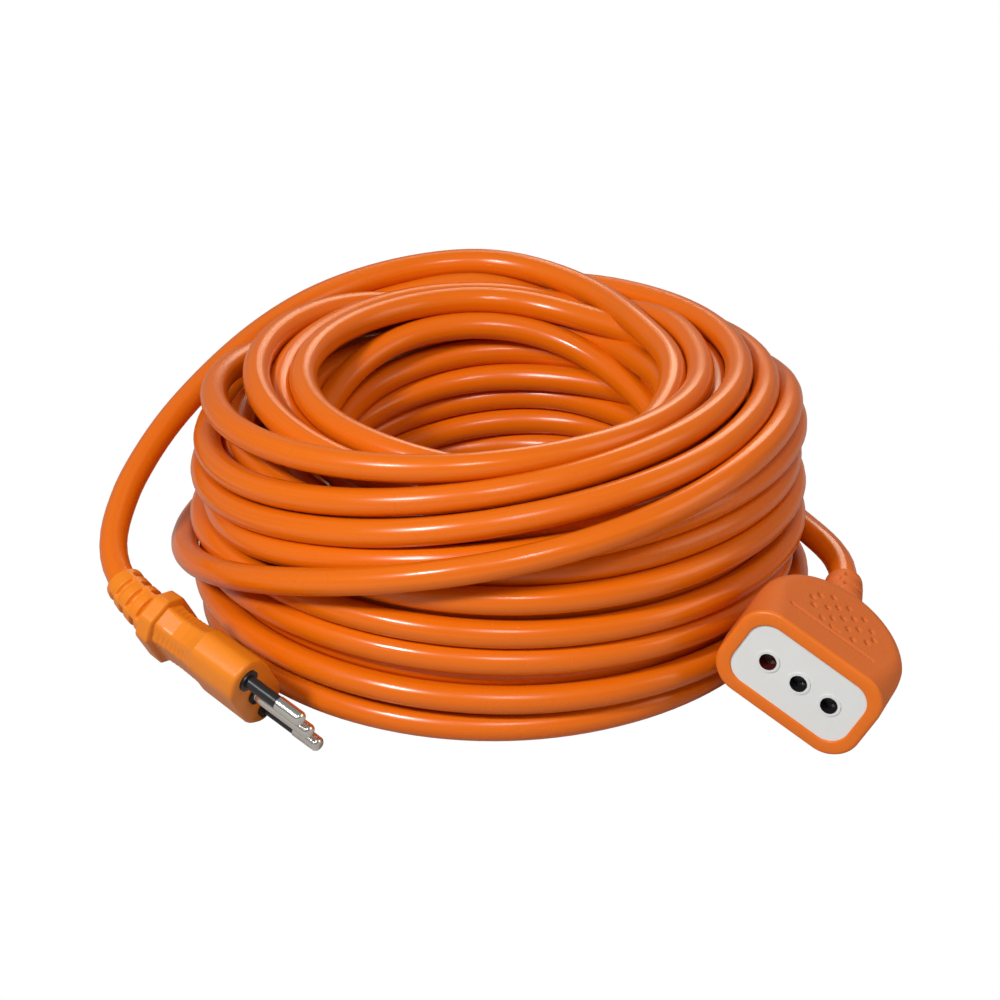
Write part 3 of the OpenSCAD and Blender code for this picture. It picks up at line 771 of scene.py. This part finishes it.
plug_shell = shell("plug_shell", plug_rings(), body_orange, True, True)
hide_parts("plug_body")
plug_relief = relief("plug_relief", route[::-1], PLUG_CORD_END - PLUG_COLLAR_BACK - 0.6,
                     PLUG_CORD_END - PLUG_RELIEF_TIP, 3, body_orange)
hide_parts("plug_strain_relief")

socket_shell = shell("socket_shell", socket_rings(), matte_orange, False, False)
socket_shell.data.materials.append(rim_orange)
rim_faces = (SOCKET_RIM_RINGS - 1) * 4 * (SOCKET_QUARTER - 1)
for face in socket_shell.data.polygons[:rim_faces]:
    face.material_index = 1
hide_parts("socket_body")
socket_relief = relief("socket_relief", route, SOCKET_CORD_END - SOCKET_BACK - 1.2,
                       SOCKET_CORD_END - SOCKET_RELIEF_TIP, 4, matte_orange)
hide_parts("socket_strain_relief")

# Sleeves of painted shade inside the socket's three holes: black in two, and dark red in the one at
# -1, where a red part is seen darkened with painted shade
a = np.linspace(0, 2 * math.pi, SHADE_SLEEVE_SIDES, endpoint=False)
ring = np.stack([np.zeros(SHADE_SLEEVE_SIDES), np.cos(a), np.sin(a)], 1) * (HOLE_R - SHADE_SLEEVE_GAP)
for place, finish in ((-1, dark_red), (0, black), (1, black)):
    rings = np.array([on_socket(ring + (depth, place * HOLE_PITCH, 0))
                      for depth in np.linspace(SHADE_SLEEVE_START, SHADE_SLEEVE_END, SHADE_SLEEVE_RINGS)])
    shade_sleeve = shell("hole_shade_sleeve_%d" % (place + 2), rings, finish, False, True)

# ---------------------------------------------------------------- the camera

camera_data = bpy.data.cameras.new("camera")
camera_data.sensor_width = CAMERA_SENSOR
camera_data.lens = CAMERA_LENS
camera = bpy.data.objects.new("camera", camera_data)
camera.location = CAMERA_AT
camera.rotation_euler = (math.radians(CAMERA_TILT), 0, 0)
bpy.context.collection.objects.link(camera)
bpy.context.scene.camera = camera

# ---------------------------------------------------------------- floor and lights


def paper_white():
    """Matte white paper that stays pure white where it is looked at directly."""
    material, tree, shader = new_material("paper_white")
    shader.inputs["Base Color"].default_value = (0.45, 0.45, 0.45, 1)
    shader.inputs["Roughness"].default_value = 0.95
    glow = add(tree, "Emission", {"Color": (1, 1, 1, 1), "Strength": 1.0})
    seen = add(tree, "LightPath", {}).outputs["Is Camera Ray"]
    both = add(tree, "MixShader", {0: seen, 1: shader.outputs[0], 2: glow.outputs[0]})
    tree.links.new(both.outputs[0], tree.nodes["Material Output"].inputs["Surface"])
    return material


floor_mesh = bpy.data.meshes.new("floor")
floor_mesh.from_pydata([(x * FLOOR_HALF, y * FLOOR_HALF, 0)
                        for x, y in ((-1, -1), (1, -1), (1, 1), (-1, 1))], [], [(0, 1, 2, 3)])
floor_mesh.materials.append(paper_white())
floor = bpy.data.objects.new("floor", floor_mesh)
bpy.context.collection.objects.link(floor)

world = bpy.data.worlds.new("studio")
bpy.context.scene.world = world
world.use_nodes = True
sky = world.node_tree.nodes["Background"].inputs
sky["Color"].default_value = (1, 1, 1, 1)
sky["Strength"].default_value = WORLD_STRENGTH


def softbox(name, place, aim, size, power, tint):
    """A square area light at a place, facing a point."""
    data = bpy.data.lights.new(name, "AREA")
    data.size = size
    data.energy = power
    data.color = tint
    lamp = bpy.data.objects.new(name, data)
    lamp.location = place
    away = np.subtract(place, aim)
    level = math.hypot(away[0], away[1])
    lamp.rotation_euler = (math.atan2(level, away[2]), 0, math.atan2(away[0], -away[1]))
    bpy.context.collection.objects.link(lamp)


for box in SOFTBOXES:
    softbox(*box)
bpy.context.scene.view_settings.view_transform = "Standard"
